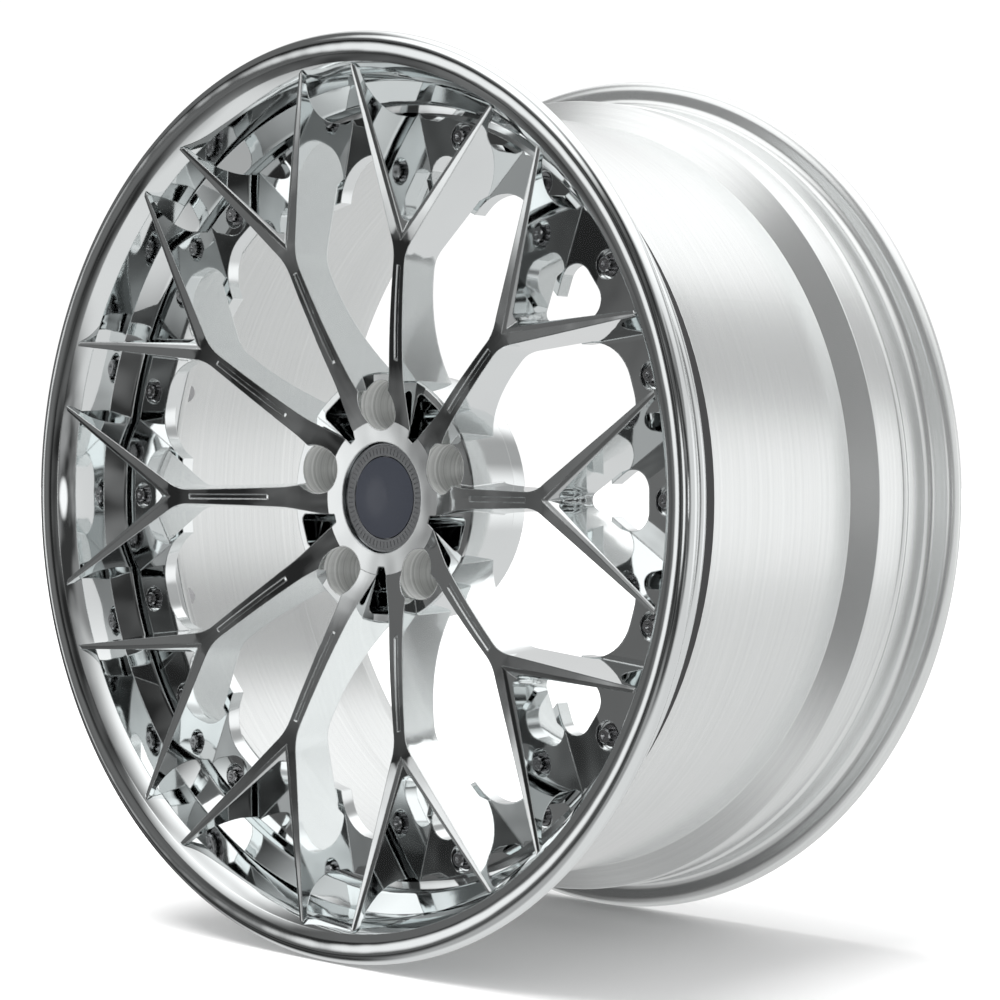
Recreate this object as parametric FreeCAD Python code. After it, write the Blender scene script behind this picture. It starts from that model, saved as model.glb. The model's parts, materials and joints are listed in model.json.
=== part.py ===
import FreeCAD, Part
import math
import os

# Three-piece forged racing wheel, 20 x 9.5J, 5 x 112.  Millimetres.
# The wheel axis lies along Y, the face looks towards -Y and +Z is up.  The origin is the
# centre of the wheel.  "depth" is the distance behind the front flange plane.

V = FreeCAD.Vector

# ---- wheel size -------------------------------------------------------------------------
bead_seat_d = 512.8        # 20 inch seat
flange_height = 17.5       # J flange, above the bead seat
flange_width = 13.0        # J flange, along the axis
rim_width = 241.3          # 9.5 inch between the flanges
wheel_offset = 35.0        # mounting face in front of the rim's middle
overall_width = rim_width + 2 * flange_width
seat_r = bead_seat_d / 2
flange_r = seat_r + flange_height
hub_depth = overall_width / 2 - wheel_offset

# ---- rim shells -------------------------------------------------------------------------
drum_r = 240.0             # outside of the barrel's drum
drum_wall = 4.5
seat_wall = 6.0            # under the bead seats
heel_r = 6.5               # round between a bead seat and its flange
bead_seat_width = 20.0
seat_angle = 5.0
hump_height = 1.3
hump_width = 6.0
edge_round = 6.5           # outer corner of each flange
lip_face_r = 260.5         # inner limit of the lip's polished flat face
lip_face_drop = 1.4
lip_mouth_r = 256.1        # sharp inner edge of the lip
lip_mouth_depth = 3.5
lip_throat_r = 252.4
lip_throat_depth = 8.5
lip_wall_r = 249.6         # polished inner wall, front and back ends
lip_wall_front = 13.0
lip_wall_back_r = 248.7
lip_wall_back = 36.0
lip_step_depth = 44.5      # foot of the step that leads to the disc
rear_ramp_start = 196.0
rear_ramp_end = 204.0
flange_bolt_inner_r = 210.0
flange_plate = 6.0         # thickness of the lip's and the barrel's mounting flanges
seal_chamfer = 3.0

# ---- centre disc ------------------------------------------------------------------------
spoke_count = 10
ring_r = 231.0
ring_gap = 6.0             # round the disc, inside the lip
ring_floor = 48.0          # depth of the bolt ring's front
ring_plate = 9.0
window_r = 207.0           # outer edge of the windows between neighbouring spokes
fork_window_r = 209.0      # outer edge of the small windows inside the forks
ridge_hub_r = 47.0
ridge_mid = (100.0, 31.5)  # radius and depth where the ridge curves
fork_r = 160.0
fork_depth = 17.0
tip_clearance = 1.0        # radial, from the fins' blunt ends to the lip's mouth
tip_depth = 4.2
tip_under_depth = 8.0
mouth_slope = (lip_throat_r - lip_mouth_r) / (lip_throat_depth - lip_mouth_depth)
tip_r = lip_mouth_r + mouth_slope * (tip_depth - lip_mouth_depth) - tip_clearance
tip_under_r = tip_r + mouth_slope * (tip_under_depth - tip_depth)
scallop_mid = (236.0, 15.8)
scallop_foot = (228.0, 31.0)
back_hub = (76.0, 78.0)
back_mid = (105.0, 57.0)
back_fork = (150.0, 43.0)
back_arm = (193.0, 43.5)
spoke_half = 4.6           # half the ridge's width, where the spoke is straight
root_r = 30.0              # the spoke is widest here, under the cap's rim
root_half = 10.5
root_end = 74.0            # and has narrowed to its own width here
root_round = 90.0
fork_start = 150.0         # where the two arms' centre lines part
fork_angle = 30.6
arm_outer = (3.3, 2.4)     # from the centre line to the outer edge, at the fork and the tip
arm_inner = (8.4, 2.8)     # to the inner edge
bevel_start = (4.2, 0.2)   # to the first bevel
bevels = ((0.0, 16.0), (2.4, 42.0))
fork_round = 28.0
vee_round = 5.0
small_window_round = 11.0
big_window_round = 28.0
draft = 0.085              # side growth per millimetre of depth
draft_zero = 20.0          # depth where the outline has its named sizes
groove_width = 2.8
groove_depth = 0.6
groove_span = (84.0, 143.0)

# ---- hub --------------------------------------------------------------------------------
hub_r = 76.0
hub_face = 50.0
hub_bore_r = 33.3
bore_chamfer = 2.0
lug_count = 5
lug_pcd = 112.0
lug_well_r = 15.0
lug_hole_r = 7.5
lug_mouth_depth = 30.0     # in front of everything that a well cuts
lug_seat_depth = 84.0
lug_seat_r = 13.0
lug_seat_height = 6.0
lug_angle = 18.0
pocket_floor = 82.0
pocket_wall = 10.6         # from a spoke's centre plane to a pocket's side
pocket_r = (42.0, 70.5)
pocket_round = 3.5

# ---- assembly hardware ------------------------------------------------------------------
bolt_count = 20
bolt_pcd = 444.0
bolt_r = 3.5
bolt_clearance = 0.25
counterbore_r = 8.2
counterbore_depth = 4.5
washer_r = 6.6
washer_t = 1.2
bolt_collar_r = 6.0
bolt_collar_t = 1.4
bolt_head_r = 4.6
bolt_head_h = 5.4
bolt_points = 12
bolt_dimple_r = 1.9
nut_flats = 11.0
nut_collar_r = 6.8
nut_collar_t = 1.4
nut_h = 7.0
bolt_end = 2.0             # thread past the nut

# ---- cap --------------------------------------------------------------------------------
cap_r = 33.3
cap_clearance = 0.4
cap_face_depth = 52.4
cap_flange_t = 5.2
cap_seat_depth = 58.0
neck_r = 29.5
neck_length = 9.0
cap_fit = 0.06             # radial, cap skirt in the neck
skirt_wall = 4.6
skirt_length = 8.4
dome_r = 24.6
dome_rise = 1.0
dome_t = 2.4
bezel_r = (25.4, 31.8)
bezel_t = 1.0
tick_count = 60
tick_width = 0.8
tick_depth = 0.35
tick_inset = 0.22          # of the bezel's width, and so is the length
tick_length = 0.55
o_ring_r = 1.2             # section
o_ring_fit = 0.05          # to the neck outside it and to the groove's floor inside it
o_ring_depth = 62.6

# ---- valve ------------------------------------------------------------------------------
valve_angle = 90.0
valve_depth = 92.0
valve_hole_r = 4.15
stem_r = 4.0
stem_head_r = 7.0
stem_head_t = 2.5
stem_length = 38.0
stem_passage_r = 1.2
grommet_r = 7.6
grommet_t = 2.5
valve_washer_r = 7.2
valve_washer_t = 1.0
valve_nut_flats = 12.0
valve_nut_h = 5.0
spot_r = 9.0
spot_depth = 0.35
core_r = 2.3
core_length = 15.0
core_inset = 1.6
core_chamber_r = 1.6
core_shoulder = 1.5
core_guide_r = 0.66
pin_r = 0.6
pin_proud = 0.6
pin_travel = 1.5
pin_collar_r = 1.4
pin_collar_t = 0.8
pin_collar_at = 3.0
plunger_r = 1.9
plunger_t = 0.8
spring_wire = 0.22         # radius
spring_coil_r = 1.1
spring_turns = 6
seal_t = 1.2
seal_gap = 0.04
valve_cap_r = 5.2
valve_cap_length = 11.0
valve_cap_end = 2.2
valve_cap_seal_t = 0.8
valve_cap_fit = 0.06
cap_knurls = 18


def y_of(depth):
    return depth - overall_width / 2


def turned(shape, angle):
    # Turns a shape about the wheel axis, counter-clockwise seen from the front.
    copy = shape.copy()
    copy.rotate(V(0, 0, 0), V(0, -1, 0), angle)
    return copy


def around(shape, count, first=0.0):
    return [turned(shape, first + 360.0 * k / count) for k in range(count)]


def section_face(points):
    # points are (radius, depth); a point marked "via" makes an arc through it.
    edges = []
    spot = [V(p[0], y_of(p[1]), 0) for p in points]
    marks = [len(p) > 2 for p in points]
    n = len(points)
    k = 0
    while k < n:
        if marks[(k + 1) % n]:
            edges.append(Part.Arc(spot[k], spot[(k + 1) % n], spot[(k + 2) % n]).toShape())
            k += 2
        else:
            edges.append(Part.makeLine(spot[k], spot[(k + 1) % n]))
            k += 1
    return Part.Face(Part.Wire(edges))


def revolve(points):
    return section_face(points).revolve(V(0, 0, 0), V(0, 1, 0), 360)


def outline(corners, depth):
    # A closed wire in a plane across the axis; corners are (x, z, corner radius).
    n = len(corners)
    at = [V(c[0], y_of(depth), c[1]) for c in corners]
    starts, ends, mids = [], [], []
    for k in range(n):
        here, r = at[k], corners[k][2]
        a = (at[k - 1] - here).normalize()
        b = (at[(k + 1) % n] - here).normalize()
        if r <= 0:
            starts.append(here)
            ends.append(here)
            mids.append(None)
            continue
        half = a.getAngle(b) / 2
        reach = r / math.tan(half)
        bisector = (a + b).normalize()
        centre = here + bisector * (r / math.sin(half))
        starts.append(here + a * reach)
        ends.append(here + b * reach)
        mids.append(centre - bisector * r)
    edges = []
    for k in range(n):
        if mids[k] is not None:
            edges.append(Part.Arc(starts[k], mids[k], ends[k]).toShape())
        nxt = (k + 1) % n
        edges.append(Part.makeLine(ends[k], starts[nxt]))
    return Part.Wire(edges)


def prism(corners, front, back):
    face = Part.Face(outline(corners, front))
    return face.extrude(V(0, back - front, 0))


def drafted(corners_at, front, back):
    return Part.makeLoft([outline(corners_at(d), d) for d in (front, back)], True, True)


def hexagon(flats):
    r = flats / 2 / math.cos(math.radians(30))
    return [(r * math.cos(math.radians(60 * k)), r * math.sin(math.radians(60 * k)), 0)
            for k in range(6)]


# ---- rim shells -------------------------------------------------------------------------

def seat_slope(run):
    return run * math.tan(math.radians(seat_angle))


def flange_points(sign, edge):
    # The outside of one flange from its bead seat to its crest, from the edge's depth.
    d = lambda v: edge + sign * v
    return [
        (seat_r - seat_slope(bead_seat_width - heel_r), d(flange_width + bead_seat_width)),
        (seat_r, d(flange_width + heel_r)),
        (seat_r + heel_r * (1 - math.sqrt(0.5)), d(flange_width + heel_r * (1 - math.sqrt(0.5))), "via"),
        (seat_r + heel_r, d(flange_width)),
        (flange_r - 7.6, d(flange_width)),
        (flange_r - 2.1, d(flange_width - 2.3), "via"),
        (flange_r, d(edge_round)),
        (flange_r - edge_round * (1 - math.sqrt(0.5)), d(edge_round * (1 - math.sqrt(0.5))), "via"),
        (flange_r - edge_round, d(0)),
    ]


def hump_points(sign, edge):
    # From the drum side over the safety hump to the bead seat.
    d = lambda v: edge + sign * v
    end = flange_width + bead_seat_width
    low = seat_r - seat_slope(bead_seat_width - heel_r)
    return [
        (low, d(end + hump_width)),
        (low + hump_height, d(end + hump_width / 2), "via"),
    ]


def joint_depth():
    return ring_floor + ring_plate + flange_plate


def make_lip():
    inner_r = ring_r + ring_gap
    floor = ring_floor + ring_plate
    joint = joint_depth()
    hump_end = flange_width + bead_seat_width + hump_width
    profile = [(flange_bolt_inner_r, floor), (inner_r, floor), (inner_r, lip_step_depth + 1.5),
               (inner_r + 1.5, lip_step_depth), (lip_wall_back_r, lip_wall_back),
               (lip_wall_r, lip_wall_front), (lip_throat_r, lip_throat_depth),
               (lip_mouth_r, lip_mouth_depth), (lip_face_r, lip_face_drop)]
    profile += list(reversed(flange_points(1, 0)))
    profile += list(reversed(hump_points(1, 0)))
    profile += [(drum_r + 3.0, hump_end + 15.0), (drum_r, joint - seal_chamfer),
                (drum_r - seal_chamfer, joint), (flange_bolt_inner_r, joint)]
    lip = revolve(profile)
    return lip.cut(Part.makeCompound(bolt_holes(floor - 1, joint + 1)))


def make_barrel():
    joint = joint_depth()
    back = joint + flange_plate
    inner = drum_r - drum_wall
    edge = overall_width
    under_seat = seat_r - seat_wall
    profile = [(flange_bolt_inner_r, joint), (drum_r - seal_chamfer, joint),
               (drum_r, joint + seal_chamfer), (drum_r, rear_ramp_start),
               (seat_r - 1.2, rear_ramp_end)]
    profile += hump_points(-1, edge)
    profile += flange_points(-1, edge)
    profile += [(lip_face_r, edge - 1.0), (lip_throat_r, edge - lip_throat_depth),
                (under_seat, edge - flange_width - heel_r), (under_seat, rear_ramp_end + 1.0),
                (inner, rear_ramp_start - 1.0), (inner, back + 6.0), (inner - 6.0, back),
                (flange_bolt_inner_r, back)]
    barrel = revolve(profile)
    barrel = barrel.cut(Part.makeCompound(bolt_holes(joint - 1, back + 1)))
    spots = [radial_cylinder(spot_r, drum_r - spot_depth, drum_r + 5),
             radial_cylinder(spot_r, inner - 5, inner + spot_depth),
             radial_cylinder(valve_hole_r, inner - 10, drum_r + 10)]
    return barrel.cut(Part.makeCompound(spots))


def make_seal():
    joint = joint_depth()
    c = seal_chamfer
    return revolve([(drum_r - c, joint), (drum_r, joint - c), (drum_r, joint + c)])


# ---- centre disc ------------------------------------------------------------------------

def ridge_depth(r):
    # Along the arms the ridge is a straight cone from the fork to the tips.
    return fork_depth + (tip_depth - fork_depth) * (r - fork_r) / (tip_r - fork_r)


def arm_point(t, offset):
    # t runs along the arm's centre line; offset is towards the inside of the fork.
    a = math.radians(fork_angle)
    return (fork_start + t * math.cos(a) + offset * math.sin(a),
            t * math.sin(a) - offset * math.cos(a))


def arm_length():
    a = math.radians(fork_angle)
    x = fork_start * math.cos(a)
    return -x + math.sqrt(x * x + tip_r ** 2 - fork_start ** 2)


def meet(p, q, r, s):
    # Where the line through p and q meets the line through r and s.
    d1 = (q[0] - p[0], q[1] - p[1])
    d2 = (s[0] - r[0], s[1] - r[1])
    k = ((r[0] - p[0]) * d2[1] - (r[1] - p[1]) * d2[0]) / (d1[0] * d2[1] - d1[1] * d2[0])
    return (p[0] + k * d1[0], p[1] + k * d1[1])


def arm_edges(grow):
    far = arm_length() + 8.0
    outer = [arm_point(0, -arm_outer[0] - grow), arm_point(far, -arm_outer[1] - grow)]
    inner = [arm_point(0, arm_inner[0] + grow), arm_point(far, arm_inner[1] + grow)]
    return outer, inner


def spoke_corners(depth):
    grow = draft * (depth - draft_zero)
    half = spoke_half + grow
    outer, inner = arm_edges(grow)
    side = meet((0, half), (100, half), outer[0], outer[1])
    vee = meet((0, 0), (100, 0), inner[0], inner[1])
    upper = [(root_r, root_half + grow, 0), (root_end, half, root_round),
             (side[0], side[1], fork_round), (outer[1][0], outer[1][1], 0),
             (inner[1][0], inner[1][1], 0)]
    lower = [(x, -z, r) for x, z, r in reversed(upper)]
    return upper + [(vee[0], vee[1], vee_round)] + lower


def disc_section():
    floor = ring_floor + ring_plate
    return revolve([
        (neck_r - 5, hub_face), (ridge_hub_r, hub_face), ridge_mid + ("via",),
        (fork_r, fork_depth), (tip_r, tip_depth), (tip_under_r, tip_under_depth), scallop_mid + ("via",), scallop_foot,
        (scallop_foot[0], ring_floor - 4.0), (ring_r, ring_floor), (ring_r, floor),
        (window_r - 1.0, floor), back_arm, back_fork, back_mid + ("via",), back_hub,
        (neck_r - 5, back_hub[1])])


def small_window():
    grow = draft * (ring_floor - draft_zero)
    inner = arm_edges(grow - 0.4)[1]
    vee = meet((0, 0), (100, 0), inner[0], inner[1])
    top = meet((fork_window_r, 0), (fork_window_r, 10), inner[0], inner[1])
    return [(vee[0], 0, vee_round), (top[0], top[1], small_window_round),
            (top[0], -top[1], small_window_round)]


def big_window():
    # Between two neighbouring forks, centred on +X.
    grow = draft * (ring_floor - draft_zero)
    outer = arm_edges(grow - 0.4)[0]
    half = math.radians(180.0 / spoke_count)

    def into_gap(p):
        return (p[0] * math.cos(half) + p[1] * math.sin(half),
                p[0] * math.sin(half) - p[1] * math.cos(half))

    a, b = into_gap(outer[0]), into_gap(outer[1])
    top = meet((window_r, 0), (window_r, 10), a, b)
    foot = meet((back_arm[0] - 25, 0), (back_arm[0] - 25, 10), a, b)
    return [(foot[0], foot[1], 0), (top[0], top[1], big_window_round),
            (top[0], -top[1], big_window_round), (foot[0], -foot[1], 0)]


def bolt_ring():
    back = ring_floor + ring_plate
    ring = revolve([(back_arm[0] - 10, ring_floor), (ring_r, ring_floor), (ring_r, back),
                    (back_arm[0] - 10, back)])
    small = prism(small_window(), ring_floor - 5, back + 5)
    big = prism(big_window(), ring_floor - 5, back + 5)
    for cut in around(small, spoke_count) + around(big, spoke_count, 180.0 / spoke_count):
        ring = ring.cut(cut)
    return ring


def arm_bevel(lead, slope):
    # A wedge along one arm's inner edge; it leans away from the ridge at the given slope.
    rise = 30 * math.tan(math.radians(slope))
    first = lead * math.tan(math.radians(bevels[0][1]))
    wires = []
    end = arm_length()
    for t in (-14.0, end + 6.0):
        r_at = fork_start + (tip_r - fork_start) * t / end
        start = bevel_start[0] + (bevel_start[1] - bevel_start[0]) * t / end + lead
        near, away = arm_point(t, start), arm_point(t, start + 30)
        low = ridge_depth(r_at) + first
        wires.append(Part.makePolygon([
            V(near[0], y_of(low), near[1]), V(away[0], y_of(low + rise), away[1]),
            V(away[0], y_of(-20), away[1]), V(near[0], y_of(-20), near[1]),
            V(near[0], y_of(low), near[1])]))
    wedge = Part.makeLoft(wires, True, True)
    above = Part.makeBox(200, 120, 120, V(100, y_of(-40), 0))
    wedge = wedge.common(above)
    return [wedge, wedge.mirror(V(0, 0, 0), V(0, 0, 1))]


def ridge_groove(section):
    low, high = groove_span
    box = Part.makeBox(high - low, 24, groove_width, V(low, y_of(12), -groove_width / 2))
    under = section.copy()
    under.translate(V(0, groove_depth, 0))
    return box.cut(under)


def hub_pocket(depth):
    # A triangular pocket between two spokes, centred on +X.
    grow = -0.05 * (depth - hub_face)
    half = math.radians(180.0 / spoke_count)
    wall = pocket_wall - grow
    low, high = pocket_r[0] - grow, pocket_r[1] + grow
    reach = lambda x: x * math.tan(half) - wall / math.cos(half)
    return [(low, max(reach(low), 0.8), 0.4), (high, reach(high), pocket_round),
            (high, -reach(high), pocket_round), (low, -max(reach(low), 0.8), 0.4)]


def lug_cutters():
    along = V(0, 1, 0)
    mouth = V(lug_pcd / 2, y_of(lug_mouth_depth), 0)
    foot = V(lug_pcd / 2, y_of(lug_seat_depth), 0)
    well = Part.makeCylinder(lug_well_r, lug_seat_depth - lug_mouth_depth, mouth, along)
    seat = Part.makeCone(lug_seat_r, lug_hole_r, lug_seat_height, foot, along)
    hole = Part.makeCylinder(lug_hole_r, hub_depth, foot, along)
    return around(Part.makeCompound([well, seat, hole]), lug_count, lug_angle)


def hub_blank():
    return revolve([(neck_r - 5, hub_face), (hub_r - 1.0, hub_face), (hub_r, hub_face + 1.0),
                    (hub_r, hub_depth - 12.5), (hub_r - 1.5, hub_depth - 11.0),
                    (hub_r - 1.5, hub_depth - 1.0), (hub_r - 2.5, hub_depth), (neck_r - 5, hub_depth)])


def cap_bore():
    seat_back = cap_seat_depth + neck_length
    return revolve([(0, hub_face - 30), (cap_r + cap_clearance, hub_face - 30),
                    (cap_r + cap_clearance, cap_seat_depth), (neck_r, cap_seat_depth),
                    (neck_r, seat_back), (hub_bore_r, seat_back), (hub_bore_r, hub_depth - bore_chamfer),
                    (hub_bore_r + bore_chamfer, hub_depth), (hub_bore_r + bore_chamfer, hub_depth + 5),
                    (0, hub_depth + 5)])


def bolt_holes(front, back):
    start = V(bolt_pcd / 2, y_of(front), 0)
    hole = Part.makeCylinder(bolt_r + bolt_clearance, back - front, start, V(0, 1, 0))
    return around(hole, bolt_count)


def make_disc():
    section = disc_section()
    spokes = around(drafted(spoke_corners, -2.0, hub_depth + 2.0), spoke_count)
    star = spokes[0].multiFuse(spokes[1:]).common(section)
    disc = star.multiFuse([bolt_ring(), hub_blank()])
    wedges = []
    for lead, slope in bevels:
        wedges += arm_bevel(lead, slope)
    trims = []
    for k in range(spoke_count):
        trims += [turned(w, 360.0 * k / spoke_count) for w in wedges]
    trims += around(ridge_groove(section), spoke_count)
    pocket = drafted(hub_pocket, hub_face - 20, pocket_floor)
    trims += around(pocket, lug_count, lug_angle + 180.0 / lug_count)
    trims += lug_cutters()
    bore = Part.makeCylinder(counterbore_r, counterbore_depth + 6,
                             V(bolt_pcd / 2, y_of(ring_floor - 6), 0), V(0, 1, 0))
    trims += around(bore, bolt_count)
    trims += bolt_holes(ring_floor - 1, ring_floor + ring_plate + 1)
    trims.append(cap_bore())
    for trim in trims:
        disc = disc.cut(trim)
    return disc


# ---- assembly hardware ------------------------------------------------------------------

def head_seat():
    return ring_floor + counterbore_depth


def make_bolt():
    seat = head_seat() - washer_t
    nut_face = joint_depth() + flange_plate
    length = nut_face + washer_t + nut_collar_t + nut_h + bolt_end - seat
    at = lambda depth: V(bolt_pcd / 2, y_of(depth), 0)
    bolt = Part.makeCylinder(bolt_r, length, at(seat), V(0, 1, 0))
    bolt = bolt.fuse(Part.makeCylinder(bolt_collar_r, bolt_collar_t, at(seat - bolt_collar_t), V(0, 1, 0)))
    top = seat - bolt_collar_t - bolt_head_h
    points = []
    for k in range(2 * bolt_points):
        r = bolt_head_r if k % 2 == 0 else bolt_head_r * 0.9
        a = math.pi * k / bolt_points
        points.append((bolt_pcd / 2 + r * math.cos(a), r * math.sin(a), 0))
    head = prism(points, top, seat - bolt_collar_t)
    crown = Part.makeCone(bolt_head_r - 1.0, bolt_head_r + 4.4, bolt_head_h, at(top), V(0, 1, 0))
    head = head.common(crown)
    dimple = Part.makeCone(bolt_dimple_r, 0.6, 1.6, at(top), V(0, 1, 0))
    return bolt.fuse(head).cut(dimple).removeSplitter()


def washer_at(face, sign):
    start = face - washer_t if sign < 0 else face
    at = V(bolt_pcd / 2, y_of(start), 0)
    outer = Part.makeCylinder(washer_r, washer_t, at, V(0, 1, 0))
    return outer.cut(Part.makeCylinder(bolt_r + bolt_clearance, washer_t, at, V(0, 1, 0)))


def make_nut():
    face = joint_depth() + flange_plate + washer_t
    at = lambda depth: V(bolt_pcd / 2, y_of(depth), 0)
    collar = Part.makeCylinder(nut_collar_r, nut_collar_t, at(face), V(0, 1, 0))
    flats = [(bolt_pcd / 2 + x, z, r) for x, z, r in hexagon(nut_flats)]
    body = prism(flats, face + nut_collar_t, face + nut_collar_t + nut_h)
    crown = Part.makeCone(nut_flats / 2 + 6.0, nut_flats / 2 - 0.2, nut_h,
                          at(face + nut_collar_t), V(0, 1, 0))
    nut = collar.fuse(body.common(crown))
    return nut.cut(Part.makeCylinder(bolt_r, 20, at(face - 1), V(0, 1, 0)))


# ---- cap --------------------------------------------------------------------------------

def make_cap_body():
    flange_back = cap_face_depth + cap_flange_t
    skirt_r = neck_r - cap_fit
    end = flange_back + skirt_length
    groove = o_ring_depth
    side = o_ring_r
    floor = neck_r - 2 * (o_ring_r + o_ring_fit)
    skirt_in = skirt_r - skirt_wall
    return revolve([
        (0, cap_face_depth + bezel_t + 1.2), (dome_r + 0.5, cap_face_depth + bezel_t + 1.2),
        (dome_r + 0.5, cap_face_depth + 0.4), (bezel_r[0], cap_face_depth),
        (bezel_r[0], cap_face_depth + bezel_t), (bezel_r[1], cap_face_depth + bezel_t),
        (bezel_r[1], cap_face_depth), (cap_r - 0.5, cap_face_depth), (cap_r, cap_face_depth + 0.5),
        (cap_r, flange_back), (skirt_r, flange_back), (skirt_r, groove - side),
        (floor, groove - side), (floor, groove + side), (skirt_r, groove + side),
        (skirt_r, end - 0.8), (skirt_r - 0.8, end), (skirt_in, end), (skirt_in, flange_back),
        (0, flange_back)])


def make_bezel():
    ring = revolve([(bezel_r[0], cap_face_depth), (bezel_r[1], cap_face_depth),
                    (bezel_r[1], cap_face_depth + bezel_t), (bezel_r[0], cap_face_depth + bezel_t)])
    span = bezel_r[1] - bezel_r[0]
    start = V(bezel_r[0] + span * tick_inset, y_of(cap_face_depth - tick_depth), -tick_width / 2)
    tick = Part.makeBox(span * tick_length, 2 * tick_depth, tick_width, start)
    return ring.cut(Part.makeCompound(around(tick, tick_count)))


def make_dome():
    back = cap_face_depth + bezel_t + 1.2
    front = back - dome_t
    return revolve([(0, front - dome_rise), (dome_r * 0.55, front - dome_rise * 0.68, "via"),
                    (dome_r, front + 0.3), (dome_r, back), (0, back)])


def make_o_ring():
    centre = neck_r - o_ring_fit - o_ring_r
    return Part.makeTorus(centre, o_ring_r, V(0, y_of(o_ring_depth), 0), V(0, 1, 0))


# ---- valve ------------------------------------------------------------------------------

def radial_place(shape):
    # Local +X points outwards along the valve's axis.
    moved = shape.copy()
    moved.translate(V(0, y_of(valve_depth), 0))
    return turned(moved, valve_angle)


def rod(r, low, high):
    return Part.makeCylinder(r, high - low, V(low, 0, 0), V(1, 0, 0))


def radial_cylinder(r, low, high):
    return radial_place(rod(r, low, high))


def seat_out():
    return drum_r - spot_depth


def seat_in():
    return drum_r - drum_wall + spot_depth


def stem_base():
    return seat_out() + grommet_t


def stem_tip():
    return stem_base() - stem_length


def core_end():
    return stem_tip() + core_inset + core_length


def make_stem():
    tip, base = stem_tip(), stem_base()
    chamber_end = core_end() + seal_t + plunger_t + pin_travel + 1.0
    stem = rod(stem_r, tip, base).fuse(rod(stem_head_r, base, base + stem_head_t))
    stem = stem.cut(rod(core_r, tip - 1, chamber_end))
    return radial_place(stem.cut(rod(stem_passage_r, tip, base + stem_head_t + 1)))


def ring_on_stem(r, low, high, bore):
    return radial_place(rod(r, low, high).cut(rod(bore, low - 1, high + 1)))


def make_valve_nut():
    low = seat_in() - valve_washer_t - valve_nut_h
    corners = [V(low, x, z) for x, z, _ in hexagon(valve_nut_flats)]
    body = Part.Face(Part.makePolygon(corners + corners[:1])).extrude(V(valve_nut_h, 0, 0))
    return radial_place(body.cut(rod(stem_r, low - 1, low + valve_nut_h + 1)))


def make_core_body():
    low, high = core_end() - core_length, core_end()
    core = rod(core_r, low, high).cut(rod(core_chamber_r, low - 1, high - core_shoulder))
    return radial_place(core.cut(rod(core_guide_r, low, high + 1)))


def collar_start():
    return core_end() - core_length + pin_collar_at


def make_core_pin():
    low, high = core_end() - core_length, core_end()
    pin = rod(pin_r, low - pin_proud, high + seal_gap + seal_t + plunger_t)
    pin = pin.fuse(rod(pin_collar_r, collar_start(), collar_start() + pin_collar_t))
    plunger = rod(plunger_r, high + seal_gap + seal_t, high + seal_gap + seal_t + plunger_t)
    return radial_place(pin.fuse(plunger))


def make_core_seal():
    low = core_end() + seal_gap
    return ring_on_stem(plunger_r, low, low + seal_t, pin_r)


def make_core_spring():
    low = collar_start() + pin_collar_t + spring_wire
    high = core_end() - core_shoulder - spring_wire
    helix = Part.makeHelix((high - low) / spring_turns, high - low, spring_coil_r)
    wire = Part.Wire(Part.makeCircle(spring_wire, V(spring_coil_r, 0, 0), V(0, 1, 0)))
    spring = Part.Wire(helix.Edges).makePipeShell([wire], True, True)
    spring.rotate(V(0, 0, 0), V(0, 1, 0), 90)
    spring.translate(V(low, 0, 0))
    return radial_place(spring)


def valve_cap_floor():
    return stem_tip() - valve_cap_seal_t - seal_gap


def make_valve_cap():
    floor = valve_cap_floor()
    low = floor - valve_cap_end
    cap = rod(valve_cap_r, low, low + valve_cap_length)
    crown = Part.makeCone(valve_cap_r - 0.8, valve_cap_r + valve_cap_length - 0.8, valve_cap_length,
                          V(low, 0, 0), V(1, 0, 0))
    cap = cap.common(crown).cut(rod(stem_r + valve_cap_fit, floor, low + valve_cap_length + 1))
    for k in range(cap_knurls):
        a = 2 * math.pi * k / cap_knurls
        r = valve_cap_r + 0.25
        start = V(low + 2.0, r * math.cos(a), r * math.sin(a))
        cap = cap.cut(Part.makeCylinder(0.5, valve_cap_length - 3.0, start, V(1, 0, 0)))
    return radial_place(cap)


def make_valve_cap_seal():
    floor = valve_cap_floor()
    return radial_place(rod(stem_r - 0.4, floor, floor + valve_cap_seal_t))


def export(name, shape):
    shape.exportStep("parts/%s.step" % name)
    print(name, "solids", len(shape.Solids), "volume", round(shape.Volume), "valid", shape.isValid())


def group(shape, count):
    return Part.makeCompound(around(shape, count))


os.makedirs("parts", exist_ok=True)
nut_seat = joint_depth() + flange_plate
export("outer_lip", make_lip())
export("inner_barrel", make_barrel())
export("barrel_seal", make_seal())
export("centre_disc", make_disc())
export("assembly_bolts", group(make_bolt(), bolt_count))
export("bolt_washers", group(washer_at(head_seat(), -1), bolt_count))
export("nut_washers", group(washer_at(nut_seat, 1), bolt_count))
export("assembly_nuts", group(make_nut(), bolt_count))
export("cap_body", make_cap_body())
export("cap_bezel", make_bezel())
export("cap_dome", make_dome())
export("cap_o_ring", make_o_ring())
export("valve_stem", make_stem())
export("valve_grommet", ring_on_stem(grommet_r, seat_out(), stem_base(), stem_r))
export("valve_washer", ring_on_stem(valve_washer_r, seat_in() - valve_washer_t, seat_in(), stem_r + 0.15))
export("valve_nut", make_valve_nut())
export("valve_core_body", make_core_body())
export("valve_core_pin", make_core_pin())
export("valve_core_spring", make_core_spring())
export("valve_core_seal", make_core_seal())
export("valve_cap", make_valve_cap())
export("valve_cap_seal", make_valve_cap_seal())
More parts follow.
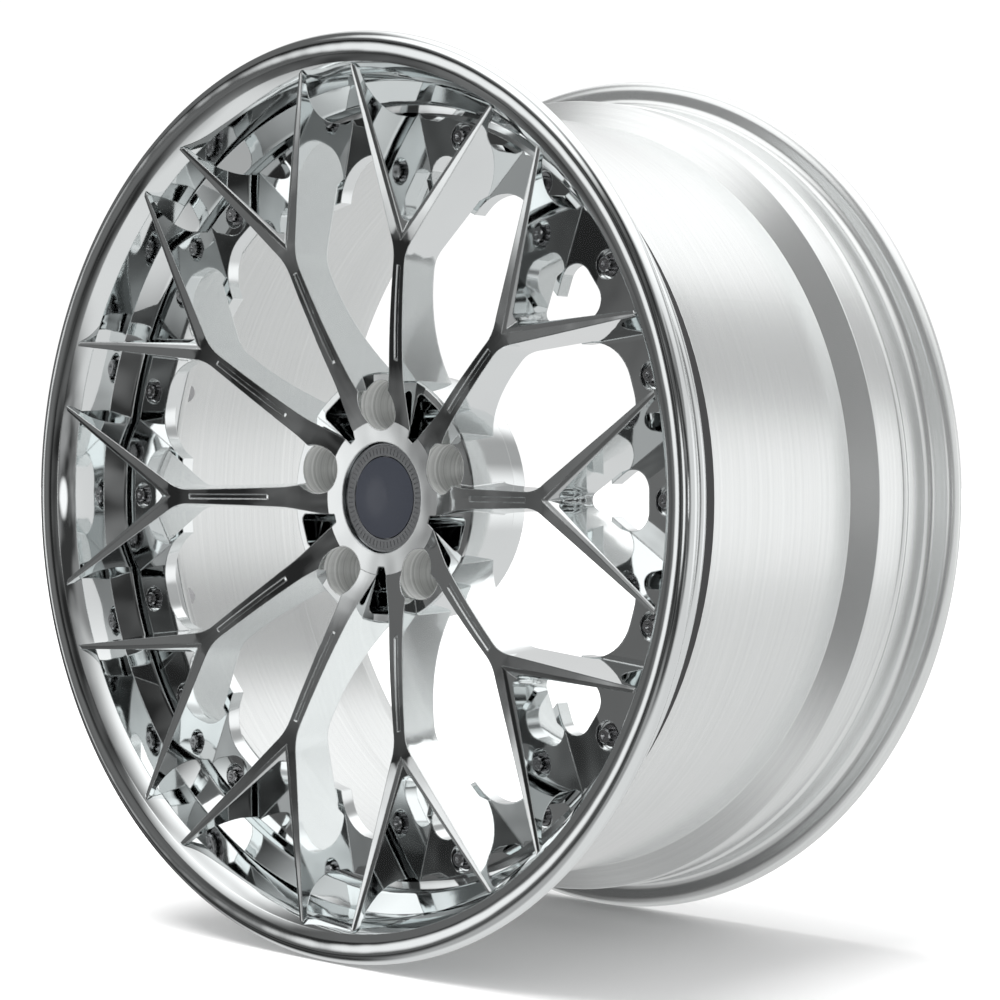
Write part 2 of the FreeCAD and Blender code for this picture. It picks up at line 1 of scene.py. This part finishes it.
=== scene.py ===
import json
import math
import bmesh
import bpy
import numpy as np
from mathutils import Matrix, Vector


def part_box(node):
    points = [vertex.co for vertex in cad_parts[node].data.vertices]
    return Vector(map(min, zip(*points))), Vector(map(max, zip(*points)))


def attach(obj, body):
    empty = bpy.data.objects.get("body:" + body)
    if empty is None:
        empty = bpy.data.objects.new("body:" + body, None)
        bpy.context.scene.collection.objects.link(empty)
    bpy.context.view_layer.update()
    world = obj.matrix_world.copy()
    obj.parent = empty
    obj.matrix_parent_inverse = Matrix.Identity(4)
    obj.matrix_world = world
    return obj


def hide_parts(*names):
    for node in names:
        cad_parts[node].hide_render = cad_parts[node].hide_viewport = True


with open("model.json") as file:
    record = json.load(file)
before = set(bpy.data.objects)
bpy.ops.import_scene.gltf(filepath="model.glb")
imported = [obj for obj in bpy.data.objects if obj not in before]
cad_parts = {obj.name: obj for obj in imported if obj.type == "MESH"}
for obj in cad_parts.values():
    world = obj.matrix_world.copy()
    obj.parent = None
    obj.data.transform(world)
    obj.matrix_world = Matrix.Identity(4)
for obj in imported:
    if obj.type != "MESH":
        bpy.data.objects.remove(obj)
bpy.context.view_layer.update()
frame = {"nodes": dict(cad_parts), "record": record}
nodes = frame["nodes"]
print("frame loaded,", len(nodes), "nodes")

mm = 0.001
lipLow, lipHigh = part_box("outer_lip")
barrelLow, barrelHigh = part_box("inner_barrel")
frontPlane = lipLow.y               # y of the front flange's face
rearPlane = barrelHigh.y
flangeRadius = lipHigh.x            # crest of both flanges


# Shader expressions

class Wire:
    # Wraps one socket. Arithmetic on it adds Math nodes, in either order of the operands.
    def __init__(self, kit, socket):
        self.kit = kit
        self.socket = socket

    def math(self, operation, first, second):
        return self.kit.math(operation, first, second)

    def __add__(self, other):
        return self.math("ADD", self, other)

    def __radd__(self, other):
        return self.math("ADD", other, self)

    def __sub__(self, other):
        return self.math("SUBTRACT", self, other)

    def __rsub__(self, other):
        return self.math("SUBTRACT", other, self)

    def __mul__(self, other):
        return self.math("MULTIPLY", self, other)

    def __rmul__(self, other):
        return self.math("MULTIPLY", other, self)

    def __pow__(self, other):
        return self.math("POWER", self, other)


class NodeKit:
    # Makes every node of one tree: settings first, then the values or links of its sockets.
    def __init__(self, tree):
        self.tree = tree

    def node(self, kind, settings=None, inputs=None, output=0):
        made = self.tree.nodes.new(kind)
        for key, value in (settings or {}).items():
            if key == "stops":
                self.setStops(made.color_ramp, value)
            else:
                setattr(made, key, value)
        for key, value in (inputs or {}).items():
            if isinstance(value, Wire):
                self.tree.links.new(value.socket, made.inputs[key])
            else:
                made.inputs[key].default_value = value
        return Wire(self, made.outputs[output]) if made.outputs else None

    def setStops(self, ramp, stops):
        while len(ramp.elements) < len(stops):
            ramp.elements.new(0.5)
        for element, (place, shade) in zip(ramp.elements, stops):
            element.position = place
            element.color = (shade, shade, shade, 1.0)

    def math(self, operation, *values):
        return self.node("ShaderNodeMath", {"operation": operation}, dict(enumerate(values)))

    def noise(self, vector, scale, detail=3.0, roughness=0.5):
        return self.node("ShaderNodeTexNoise", {}, {"Vector": vector, "Scale": scale,
                                                    "Detail": detail, "Roughness": roughness})

    def split(self, vector):
        first = self.node("ShaderNodeSeparateXYZ", {}, {0: vector})
        return [Wire(self, socket) for socket in first.socket.node.outputs]

    def mixColor(self, factor, first, second):
        # Each colour is three numbers or a wire.
        first, second = (c if isinstance(c, Wire) else c + (1.0,) for c in (first, second))
        return self.node("ShaderNodeMix", {"data_type": "RGBA"},
                         {"Factor": factor, 6: first, 7: second}, output=2)

    def remap(self, value, low, high, toLow, toHigh):
        return self.node("ShaderNodeMapRange", {}, {"Value": value, "From Min": low,
                                                    "From Max": high, "To Min": toLow,
                                                    "To Max": toHigh})


class Finish(NodeKit):
    # One material: a Principled shader whose constants sit on its own sockets.
    def __init__(self, name, **constants):
        self.material = bpy.data.materials.new(name)
        self.material.use_nodes = True
        super().__init__(self.material.node_tree)
        self.shader = self.tree.nodes["Principled BSDF"]
        for key, value in constants.items():
            self.shader.inputs[key].default_value = value
        self.place = self.node("ShaderNodeTexCoord", {}, {}, output=3)

    def feed(self, **wires):
        for key, wire in wires.items():
            self.tree.links.new(wire.socket, self.shader.inputs[key.replace("_", " ")])

    def bump(self, height, strength, distance, under=None):
        inputs = {"Height": height, "Strength": strength, "Distance": distance}
        if under is not None:
            inputs["Normal"] = under
        return self.node("ShaderNodeBump", {}, inputs)

    def softEdge(self, radius):
        return self.node("ShaderNodeBevel", {"samples": 4}, {"Radius": radius})

    def latheSpot(self):
        # Radius and distance along the axis, so that a pattern runs round the wheel.
        x, y, z = self.split(self.place)
        radius = (x * x + z * z) ** 0.5
        return self.node("ShaderNodeCombineXYZ", {}, {0: radius, 1: y, 2: 0.0})

    def wellMask(self):
        # 1 inside the lug wells. The angle is folded onto one well, then measured from its axis.
        x, y, z = self.split(self.place)
        pitch = 2 * math.pi / lugWell["count"]
        first = math.radians(lugWell["first"])
        angle = self.math("ARCTAN2", z, x) - first
        folded = self.math("WRAP", angle, -pitch / 2, pitch / 2)
        radius = (x * x + z * z) ** 0.5
        along = radius * self.math("COSINE", folded) - lugWell["circle"]
        across = radius * self.math("SINE", folded)
        away = (along * along + across * across) ** 0.5
        reach, front = lugWell["reach"], frontPlane + lugWell["front"]
        inside = self.remap(away, reach, reach + lugWell["reachFade"], 1.0, 0.0)
        behind = self.remap(y, front, front + lugWell["frontFade"], 0.0, 1.0)
        depth = self.node("ShaderNodeCombineXYZ", {}, {0: away, 1: y, 2: 0.0})
        return inside * behind, depth


# Finishes

polish = {"color": (0.90, 0.925, 0.925), "shadow": (0.83, 0.855, 0.86), "roughness": 0.035,
          "haze": 0.05, "cloudScale": 22.0, "wipeScale": 260.0, "edge": 0.9 * mm,
          "wave": 1.0, "waveScale": 34.0, "waveDepth": 0.16 * mm}
lugWell = {"count": 5, "first": 18.0, "circle": 56.0 * mm, "reach": 15.15 * mm, "front": 47.0 * mm,
           "color": (0.84, 0.85, 0.84), "dark": (0.50, 0.51, 0.50), "matte": 0.7,
           "roughness": 0.30, "lines": 900.0, "lineDepth": 0.06 * mm, "contrast": (0.35, 0.65),
           "reachFade": 0.1 * mm, "frontFade": 1.0 * mm}


def buffed(finish):
    # A buffed mirror's colour, roughness and slow waves from hand polishing.
    cloud = finish.noise(finish.place, polish["cloudScale"], 2.0)
    wipe = finish.noise(finish.place, polish["wipeScale"], 4.0, 0.6)
    color = finish.mixColor(cloud, polish["color"], polish["shadow"])
    roughness = polish["roughness"] + polish["haze"] * wipe * cloud
    return color, roughness, finish.noise(finish.place, polish["waveScale"], 1.0)


def makePolished(name):
    finish = Finish(name, Metallic=1.0)
    color, roughness, wave = buffed(finish)
    finish.feed(Base_Color=color, Roughness=roughness)
    rounded = finish.softEdge(polish["edge"])
    finish.feed(Normal=finish.bump(wave, polish["wave"], polish["waveDepth"], rounded))
    return finish.material


def makeDiscPolish(name):
    # The same mirror, with the lug wells left as the cutter turned them.
    finish = Finish(name, Metallic=1.0)
    color, roughness, wave = buffed(finish)
    inWell, depth = finish.wellMask()
    tool = finish.noise(depth, lugWell["lines"], 2.0, 0.7)
    streaks = finish.remap(tool, *lugWell["contrast"], 0.0, 1.0)
    cut = finish.mixColor(streaks, lugWell["color"], lugWell["dark"])
    finish.feed(Base_Color=finish.mixColor(inWell, color, cut))
    finish.feed(Roughness=roughness * (1 - inWell) + lugWell["roughness"] * inWell)
    finish.feed(Metallic=1 - lugWell["matte"] * inWell)
    rounded = finish.softEdge(polish["edge"])
    waveShare = polish["waveDepth"] / lugWell["lineDepth"]
    swell = wave * (1 - inWell) * waveShare + tool * inWell
    finish.feed(Normal=finish.bump(swell, polish["wave"], lugWell["lineDepth"], rounded))
    return finish.material


turned = {"color": (0.86, 0.875, 0.87), "shadow": (0.70, 0.715, 0.715), "metal": 0.8,
          "roughness": 0.24, "lineSpread": 0.12, "cloudSpread": 0.06, "fine": 2600.0,
          "coarse": 420.0, "cloudScale": 9.0, "contrast": (0.38, 0.62), "ringShade": 0.45,
          "cloudShade": 0.4, "depth": 0.03 * mm, "strength": 0.5}


def makeTurned(name):
    # Fine tool lines all round: noise that depends on radius and axial distance only.
    finish = Finish(name, Metallic=turned["metal"])
    spot = finish.latheSpot()
    fine = finish.noise(spot, turned["fine"], 2.0, 0.7)
    coarse = finish.noise(spot, turned["coarse"], 3.0, 0.6)
    cloud = finish.noise(finish.place, turned["cloudScale"], 3.0)
    lines = 0.6 * fine + 0.4 * coarse
    rings = finish.remap(lines, *turned["contrast"], 0.0, 1.0)
    shade = turned["ringShade"] * rings + turned["cloudShade"] * cloud
    finish.feed(Base_Color=finish.mixColor(shade, turned["color"], turned["shadow"]))
    finish.feed(Roughness=turned["roughness"] + turned["lineSpread"] * (lines - 0.5)
                + turned["cloudSpread"] * (cloud - 0.5))
    finish.feed(Normal=finish.bump(lines, turned["strength"], turned["depth"]))
    return finish.material


smallMetal = {"grain": 900.0, "stain": 45.0, "spread": 0.16, "bump": 0.3, "depth": 0.02 * mm,
              "edge": 0.25 * mm}


def makeMetal(name, color, dark, roughness, metal=1.0):
    # Machined steel, brass or aluminium: fine wear, with broad stains under it.
    finish = Finish(name, Metallic=metal)
    wear = finish.noise(finish.place, smallMetal["grain"], 3.0, 0.6)
    stain = finish.noise(finish.place, smallMetal["stain"], 2.0)
    finish.feed(Base_Color=finish.mixColor(0.6 * wear + 0.4 * stain, color, dark))
    finish.feed(Roughness=roughness + smallMetal["spread"] * (wear - 0.4))
    rounded = finish.softEdge(smallMetal["edge"])
    finish.feed(Normal=finish.bump(wear, smallMetal["bump"], smallMetal["depth"], rounded))
    return finish.material


lacquer = {"grain": 3200.0, "spread": 0.12, "bump": 0.12, "depth": 0.02 * mm, "edge": 0.2 * mm,
           "coat": 0.3, "coatRoughness": 0.04}


def makePaint(name, color, fleck, roughness):
    # Dark paint with a fine fleck under a thin clear coat.
    finish = Finish(name, Metallic=0.0)
    finish.shader.inputs["Coat Roughness"].default_value = lacquer["coatRoughness"]
    finish.shader.inputs["Coat Weight"].default_value = lacquer["coat"]
    grain = finish.noise(finish.place, lacquer["grain"], 2.0, 0.7)
    finish.feed(Base_Color=finish.mixColor(grain, color, fleck))
    finish.feed(Roughness=roughness + lacquer["spread"] * (grain - 0.5))
    rounded = finish.softEdge(lacquer["edge"])
    finish.feed(Normal=finish.bump(grain, lacquer["bump"], lacquer["depth"], rounded))
    return finish.material


rubber = {"color": (0.018, 0.018, 0.019), "dust": (0.045, 0.045, 0.046), "roughness": 0.5,
          "spread": 0.3, "grain": 1400.0, "bump": 0.3, "depth": 0.05 * mm}


def makeRubber(name):
    finish = Finish(name, Metallic=0.0)
    skin = finish.noise(finish.place, rubber["grain"], 4.0, 0.6)
    finish.feed(Base_Color=finish.mixColor(skin, rubber["color"], rubber["dust"]))
    finish.feed(Roughness=rubber["roughness"] + rubber["spread"] * skin)
    finish.feed(Normal=finish.bump(skin, rubber["bump"], rubber["depth"]))
    return finish.material


finishes = {
    "polished_disc": makeDiscPolish("polishedDisc"),
    "polished_lip": makePolished("polishedLip"),
    "turned_barrel": makeTurned("turnedBarrel"),
    "bolt_steel": makeMetal("boltSteel", (0.62, 0.62, 0.63), (0.34, 0.34, 0.35), 0.22),
    "washer_steel": makeMetal("washerSteel", (0.30, 0.30, 0.31), (0.12, 0.12, 0.12), 0.30),
    "nut_steel": makeMetal("nutSteel", (0.60, 0.60, 0.61), (0.40, 0.40, 0.41), 0.30),
    "stem_aluminium": makeMetal("stemAluminium", (0.78, 0.79, 0.80), (0.62, 0.63, 0.64), 0.24),
    "valve_cap_aluminium": makeMetal("valveCapAluminium", (0.76, 0.77, 0.78), (0.55, 0.56, 0.57),
                                     0.28),
    "core_brass": makeMetal("coreBrass", (0.78, 0.60, 0.28), (0.55, 0.40, 0.17), 0.28),
    "spring_steel": makeMetal("springSteel", (0.58, 0.58, 0.59), (0.36, 0.36, 0.37), 0.25),
    "bezel_graphite": makeMetal("bezelGraphite", (0.19, 0.195, 0.20), (0.12, 0.125, 0.13), 0.30,
                                metal=0.45),
    "cap_paint": makeMetal("capRim", (0.42, 0.43, 0.44), (0.26, 0.27, 0.28), 0.16),
    "dome_gloss": makePaint("domeGloss", (0.028, 0.032, 0.044), (0.048, 0.053, 0.068), 0.30),
    "seal_black": makeRubber("sealBlack"),
    "o_ring_black": makeRubber("oRingBlack"),
    "grommet_black": makeRubber("grommetBlack"),
}
for part in frame["record"]["subparts"]:
    owner = nodes[part["node"]]
    owner.data.materials.clear()
    owner.data.materials.append(finishes[part["material_slot"]])
print("finishes made:", len(finishes))


# Lathe work: stations are (radius, depth behind the front face) in millimetres

rim = {"seat": 256.4, "heel": 6.5, "flangeWidth": 13.0, "seatWidth": 20.0, "seatSlope": 0.0875,
       "crest": 273.9, "crestRound": 6.5, "humpHeight": 1.3, "humpWidth": 6.0, "drum": 240.0,
       "wall": 4.5, "joint": 63.0, "flangePlate": 6.0, "boltFlange": 210.0, "chamfer": 3.0,
       "segments": 384, "sharpAngle": 32, "longest": 12.0 * mm, "arcPoints": 11, "cornerPoints": 4,
       "nearlyStraight": 86}


def arcPoints(start, via, end, count):
    # Points on the circle through three points, from start to end by way of via.
    (ax, ay), (bx, by), (cx, cy) = start, via, end
    d = 2 * (ax * (by - cy) + bx * (cy - ay) + cx * (ay - by))
    a2, b2, c2 = ax * ax + ay * ay, bx * bx + by * by, cx * cx + cy * cy
    ux = (a2 * (by - cy) + b2 * (cy - ay) + c2 * (ay - by)) / d
    uy = (a2 * (cx - bx) + b2 * (ax - cx) + c2 * (bx - ax)) / d
    angles = np.unwrap([math.atan2(p[1] - uy, p[0] - ux) for p in (start, via, end)])
    turn = np.linspace(angles[0], angles[2], count)
    size = math.hypot(ax - ux, ay - uy)
    return np.column_stack([ux + size * np.cos(turn), uy + size * np.sin(turn)])


def easedCorner(before, corner, after, radius):
    # A small arc in place of a corner, tangent to both of its sides.
    before, corner, after = (np.array(p, float) for p in (before, corner, after))
    toBefore, toAfter = before - corner, after - corner
    lengths = np.linalg.norm(toBefore), np.linalg.norm(toAfter)
    toBefore, toAfter = toBefore / lengths[0], toAfter / lengths[1]
    half = math.acos(np.clip(toBefore @ toAfter, -1, 1)) / 2
    if half > math.radians(rim["nearlyStraight"]):
        return np.array([corner])
    reach = min(radius / math.tan(half), 0.3 * min(lengths))
    size = reach * math.tan(half)
    bisector = (toBefore + toAfter) / np.linalg.norm(toBefore + toAfter)
    centre = corner + bisector * size / math.sin(half)
    first, last = corner + toBefore * reach, corner + toAfter * reach
    middle = centre + (corner - centre) / np.linalg.norm(corner - centre) * size
    return arcPoints(first, middle, last, rim["cornerPoints"])


def latheProfile(stations, easing):
    # stations are (radius, depth) in millimetres; one marked "via" is the middle of an arc.
    plain, count = [], len(stations)
    for k, station in enumerate(stations):
        after = stations[(k + 1) % count]
        before = stations[k - 1]
        if len(station) > 2:
            plain.append(arcPoints(before[:2], station[:2], after[:2], rim["arcPoints"])[1:-1])
        elif len(before) > 2 or len(after) > 2:
            plain.append(np.array([station[:2]]))
        else:
            plain.append(easedCorner(before[:2], station, after[:2], easing))
    return np.vstack(plain) * mm


def splitLong(profile):
    # More points on long straight stretches, so that the facets stay even.
    rows = []
    for a, b in zip(profile, np.roll(profile, -1, axis=0)):
        parts = max(1, int(np.linalg.norm(b - a) / rim["longest"]))
        rows.append(a + (b - a) * np.linspace(0, 1, parts, endpoint=False)[:, None])
    return np.vstack(rows)


def lathe(name, profile):
    # Each profile point (radius, depth) goes round the axis: x = r cos t, z = r sin t.
    segments = rim["segments"]
    turn = np.linspace(0, 2 * math.pi, segments, endpoint=False)
    radius, depth = profile[:, 0], profile[:, 1]
    points = np.stack([radius[:, None] * np.cos(turn),
                       np.broadcast_to(frontPlane + depth[:, None], (len(profile), segments)),
                       radius[:, None] * np.sin(turn)], axis=-1).reshape(-1, 3)
    row = np.arange(len(profile))[:, None] * segments
    column = np.arange(segments)[None, :]
    nextRow, nextColumn = np.roll(row, -1, axis=0), np.roll(column, -1, axis=1)
    quads = np.stack([row + column, row + nextColumn, nextRow + nextColumn, nextRow + column],
                     axis=-1)
    return surface(name, points, quads.reshape(-1, 4))


def surface(name, points, faces):
    mesh = bpy.data.meshes.new(name)
    mesh.from_pydata(points, [], faces.tolist())
    mesh.polygons.foreach_set("use_smooth", np.ones(len(mesh.polygons), bool))
    mesh.set_sharp_from_angle(angle=math.radians(rim["sharpAngle"]))
    mesh.update()
    piece = bpy.data.objects.new(name, mesh)
    bpy.context.scene.collection.objects.link(piece)
    return piece


def facesOutward(piece):
    # The signed volume of a closed mesh is positive when its faces point outwards.
    mesh = piece.data
    mesh.calc_loop_triangles()
    corners = np.empty(len(mesh.loop_triangles) * 3, np.int32)
    mesh.loop_triangles.foreach_get("vertices", corners)
    spots = np.empty(len(mesh.vertices) * 3)
    mesh.vertices.foreach_get("co", spots)
    a, b, c = np.moveaxis(spots.reshape(-1, 3)[corners.reshape(-1, 3)], 1, 0)
    return np.einsum("ij,ij->i", a, np.cross(b, c)).sum() > 0


def settle(piece, body, slotName, replaced):
    if not facesOutward(piece):
        piece.data.flip_normals()
    piece.data.materials.append(finishes[slotName])
    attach(piece, body)
    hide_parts(replaced)
    return piece


def flangeStations(sign, edge):
    # The tyre side of one flange, from its bead seat over the heel to the crest.
    seat, heel, width = rim["seat"], rim["heel"], rim["flangeWidth"]
    crest, rounding = rim["crest"], rim["crestRound"]
    low = seat - (rim["seatWidth"] - heel) * rim["seatSlope"]
    cut = 1 - math.sqrt(0.5)
    return [(low, edge + sign * (width + rim["seatWidth"])),
            (seat, edge + sign * (width + heel)),
            (seat + heel * cut, edge + sign * (width + heel * cut), "via"),
            (seat + heel, edge + sign * width),
            (crest - 7.6, edge + sign * width),
            (crest - 2.1, edge + sign * (width - 2.3), "via"),
            (crest, edge + sign * rounding),
            (crest - rounding * cut, edge + sign * rounding * cut, "via"),
            (crest - rounding, edge)]


def humpStations(sign, edge):
    # The low ring behind the seat that keeps the tyre's bead in place.
    end = rim["flangeWidth"] + rim["seatWidth"]
    low = rim["seat"] - (rim["seatWidth"] - rim["heel"]) * rim["seatSlope"]
    return [(low, edge + sign * (end + rim["humpWidth"])),
            (low + rim["humpHeight"], edge + sign * (end + rim["humpWidth"] / 2), "via")]


lipShape = {"floor": 57.0, "inner": 237.0, "stepDepth": 44.5, "wallBack": (248.7, 36.0),
            "wallFront": (249.6, 13.0), "throat": (252.4, 8.5), "mouth": (256.1, 3.5),
            "face": (260.5, 1.4), "easing": 0.5}


def makeLip():
    shape = lipShape
    inner, step = shape["inner"], shape["stepDepth"]
    stations = [(rim["boltFlange"], shape["floor"]), (inner, shape["floor"]), (inner, step + 1.5),
                (inner + 1.5, step), shape["wallBack"], shape["wallFront"], shape["throat"],
                shape["mouth"], shape["face"]]
    stations += flangeStations(1, 0)[::-1]
    stations += humpStations(1, 0)[::-1]
    humpEnd = rim["flangeWidth"] + rim["seatWidth"] + rim["humpWidth"]
    stations += [(rim["drum"] + 3, humpEnd + 15), (rim["drum"], rim["joint"] - rim["chamfer"]),
                 (rim["drum"] - rim["chamfer"], rim["joint"]), (rim["boltFlange"], rim["joint"])]
    profile = splitLong(latheProfile(stations, shape["easing"]))
    return settle(lathe("outerLip", profile), "wheel", "polished_lip", "outer_lip")


barrelShape = {"rampStart": 196.0, "rampEnd": 204.0, "underSeat": 250.4, "rearMouth": (252.4, 8.5),
               "face": (260.5, 1.0), "easing": 0.9}


def makeBarrel():
    shape = barrelShape
    edge = (rearPlane - frontPlane) / mm
    joint, back = rim["joint"], rim["joint"] + rim["flangePlate"]
    inner = rim["drum"] - rim["wall"]
    hump = humpStations(-1, edge)
    stations = [(rim["boltFlange"], joint), (rim["drum"] - rim["chamfer"], joint),
                (rim["drum"], joint + rim["chamfer"]), (rim["drum"], shape["rampStart"]),
                (rim["seat"] - 1.2, shape["rampEnd"])]
    stations += hump + flangeStations(-1, edge)
    stations += [(shape["face"][0], edge - shape["face"][1]),
                 (shape["rearMouth"][0], edge - shape["rearMouth"][1]),
                 (shape["underSeat"], edge - rim["flangeWidth"] - rim["heel"]),
                 (shape["underSeat"], shape["rampEnd"] + 1), (inner, shape["rampStart"] - 1),
                 (inner, back + 6), (inner - 6, back), (rim["boltFlange"], back)]
    profile = splitLong(latheProfile(stations, shape["easing"]))
    return settle(lathe("innerBarrel", profile), "wheel", "turned_barrel", "inner_barrel")


makeLip()
makeBarrel()
print("lip and barrel turned")


# Centre disc

disc = {"merge": 0.002 * mm, "seamCrease": 14, "foldCrease": 40, "flatWeight": 80}


def makeDisc():
    # The forged disc's own faces, joined up, with normals that favour the large flat faces.
    piece = bpy.data.objects.new("forkedDisc", creased(nodes["centre_disc"].data))
    bpy.context.scene.collection.objects.link(piece)
    weighted = piece.modifiers.new("weighted", "WEIGHTED_NORMAL")
    weighted.keep_sharp = True
    weighted.weight = disc["flatWeight"]
    return settle(piece, "wheel", "polished_disc", "centre_disc")


def creased(source):
    # The open edges are where two surfaces of the design meet: those get a crease at a small
    # angle, so that flat faces stay flat, and the folds inside one curved surface don't.
    work = bmesh.new()
    work.from_mesh(source)
    seam = work.edges.layers.int.new("seam")
    for edge in work.edges:
        edge[seam] = edge.is_boundary
    bmesh.ops.remove_doubles(work, verts=work.verts, dist=disc["merge"])
    for edge in work.edges:
        limit = disc["seamCrease"] if edge[seam] else disc["foldCrease"]
        edge.smooth = edge.calc_face_angle(0.0) < math.radians(limit)
    for face in work.faces:
        face.smooth = True
    work.edges.layers.int.remove(seam)
    mesh = bpy.data.meshes.new("forkedDisc")
    work.to_mesh(mesh)
    work.free()
    return mesh


makeDisc()
print("disc finished")


# Studio

studio = {"floorSize": 60.0, "floorColor": (0.96, 0.96, 0.96, 1.0), "floorRoughness": 0.9,
          "eye": (1.039, -1.1175, 0.0172), "azimuth": 42.332, "elevation": 0.728, "lens": 87.2,
          "base": 0.70, "backdrop": 1.05, "fill": 0.95, "clutterScale": 4.2,
          "clutterRange": (0.42, 0.70, 0.5, 4.0), "clutterBelow": 0.1,
          "sunTurn": (-0.25, -0.30, 1.6), "sunPower": 2.8, "sunAngle": 38.0}
# direction, half angle of the full tone, half angle where it has faded, and the tone
studioLobes = [((0.0, 0.2, 1.0), 26, 64, 1.3),
               ((-0.30, -0.95, 0.0), 60, 84, 0.042),
               ((0.78, -0.62, 0.0), 18, 32, 0.08),
               ((-1.0, 0.2, 0.0), 24, 36, 0.07),
               ((-0.9, -0.1, 0.45), 22, 38, 0.13),
               ((0.15, -0.2, -1.0), 30, 50, 0.75),
               ((-0.33, -0.58, 0.74), 14, 28, 1.3),
               ((-0.28, -0.58, -0.76), 12, 26, 0.42),
               ((0.05, -0.85, -0.50), 8, 18, 0.33),
               ((0.10, -0.90, 0.41), 7, 16, 0.08),
               ((0.87, -0.30, 0.41), 7, 16, 0.25),
               ((0.50, 0.74, 0.42), 6, 20, 0.40),
               ((0.28, -0.96, 0.0), 5, 13, 1.0),
               ((0.82, -0.57, 0.0), 2.5, 5, 1.1),
               ((0.67, 0.74, 0.0), 5, 22, 1.05),
               ((-0.75, -0.662, -0.01), 2.0, 5.6, 0.95)]


def makeWorld():
    # Reflections see the lobes, each laid over the ones before it. The camera sees the plain
    # backdrop, matt surfaces take an even fill, and dark lobes are broken up by clutter.
    world = bpy.data.worlds.new("studioLight")
    world.use_nodes = True
    kit = NodeKit(world.node_tree)
    kit.tree.nodes.clear()
    direction = kit.node("ShaderNodeTexCoord", {}, {}, output=0)
    tone = studio["base"]
    patches = kit.noise(direction, studio["clutterScale"], 2.0)
    clutter = kit.remap(patches, *studio["clutterRange"])
    for centre, inner, outer, value in studioLobes:
        unit = Vector(centre).normalized()
        nearness = kit.node("ShaderNodeVectorMath", {"operation": "DOT_PRODUCT"},
                            {0: direction, 1: tuple(unit)}, output=1)
        weight = kit.node("ShaderNodeMapRange", {"interpolation_type": "SMOOTHSTEP"},
                          {"Value": nearness, "From Min": math.cos(math.radians(outer)),
                           "From Max": math.cos(math.radians(inner)), "To Min": 0.0, "To Max": 1.0})
        if value < studio["clutterBelow"]:
            value = value * clutter
        tone = tone * (1 - weight) + value * weight
    seen = kit.node("ShaderNodeLightPath")
    matte = kit.node("ShaderNodeLightPath", output=2)
    tone = tone * (1 - matte) + studio["fill"] * matte
    tone = tone * (1 - seen) + studio["backdrop"] * seen
    shade = kit.node("ShaderNodeCombineColor", {}, {0: tone, 1: tone, 2: tone})
    light = kit.node("ShaderNodeBackground", {}, {"Color": shade, "Strength": 1.0})
    kit.node("ShaderNodeOutputWorld", {}, {"Surface": light})
    bpy.context.scene.world = world


def makeFloor():
    half = studio["floorSize"] / 2
    low = -flangeRadius
    corners = [(-half, -half, low), (half, -half, low), (half, half, low), (-half, half, low)]
    mesh = bpy.data.meshes.new("floor")
    mesh.from_pydata(corners, [], [(0, 1, 2, 3)])
    floor = bpy.data.objects.new("floor", mesh)
    bpy.context.scene.collection.objects.link(floor)
    finish = Finish("floorPaper", Roughness=studio["floorRoughness"])
    finish.shader.inputs["Base Color"].default_value = studio["floorColor"]
    floor.data.materials.append(finish.material)
    floor.visible_glossy = False


def makeCamera():
    azimuth, elevation = math.radians(studio["azimuth"]), math.radians(studio["elevation"])
    back = Vector((math.sin(azimuth) * math.cos(elevation),
                   -math.cos(azimuth) * math.cos(elevation), math.sin(elevation)))
    data = bpy.data.cameras.new("camera")
    data.lens = studio["lens"]
    data.sensor_width = 36.0
    camera = bpy.data.objects.new("camera", data)
    camera.location = studio["eye"]
    camera.rotation_mode = "QUATERNION"
    camera.rotation_quaternion = (-back).to_track_quat("-Z", "Y")
    bpy.context.scene.collection.objects.link(camera)
    bpy.context.scene.camera = camera


def makeSun():
    # A very soft overhead light: it whitens the floor and draws the shadow under the barrel.
    data = bpy.data.lights.new("overhead", "SUN")
    data.energy = studio["sunPower"]
    data.angle = math.radians(studio["sunAngle"])
    sun = bpy.data.objects.new("overhead", data)
    sun.rotation_mode = "QUATERNION"
    sun.rotation_quaternion = (-Vector(studio["sunTurn"])).to_track_quat("-Z", "Y")
    sun.visible_glossy = False
    bpy.context.scene.collection.objects.link(sun)


makeWorld()
makeFloor()
makeCamera()
makeSun()
bpy.context.scene.view_settings.view_transform = "Standard"
print("studio lit")
